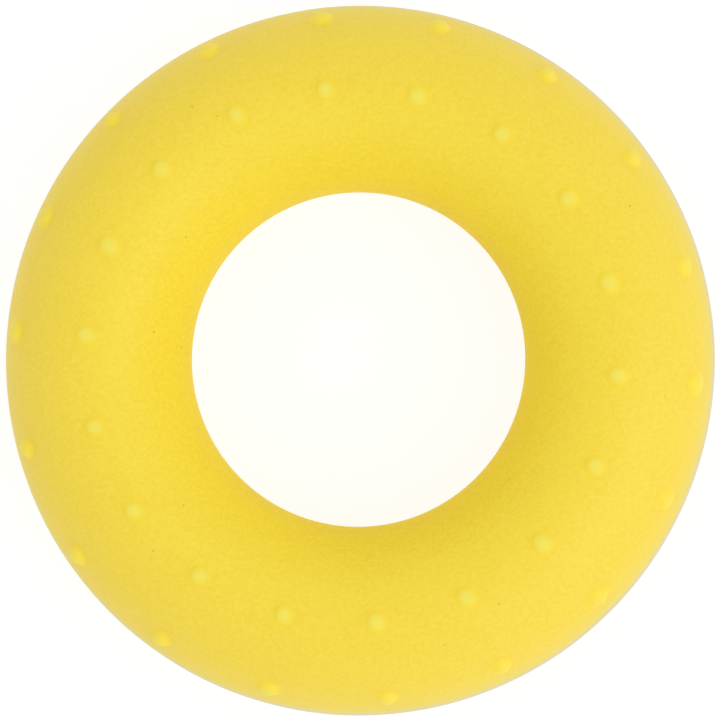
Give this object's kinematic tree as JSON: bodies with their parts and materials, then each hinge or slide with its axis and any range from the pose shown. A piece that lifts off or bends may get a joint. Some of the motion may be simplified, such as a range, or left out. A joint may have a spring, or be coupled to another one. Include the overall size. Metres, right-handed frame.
{
  "type": "hand grip exercise ring",
  "caption": "Solid soft silicone ring of round section with small massage nubs in rings on its top, flanks and underside, squeezed in the hand to train grip.",
  "frame": {"origin": "centre of the ring, on its axis and on the mould's parting plane", "axes": "+Z along the ring's axis; +X through one column of nubs; the ring lies flat with its hole facing up"},
  "size_m": [0.0704, 0.0704, 0.0198],
  "materials": {
    "silicone": "matte moulded silicone, opaque yellow",
    "flash": "thin pale translucent silicone flash"
  },
  "bodies": {
    "root": {"ring_body": "silicone", "top_crest_nubs": "silicone", "upper_flank_nubs": "silicone", "lower_flank_nubs": "silicone", "bottom_crest_nubs": "silicone", "outer_parting_line": "flash"}
  },
  "joints": []
}
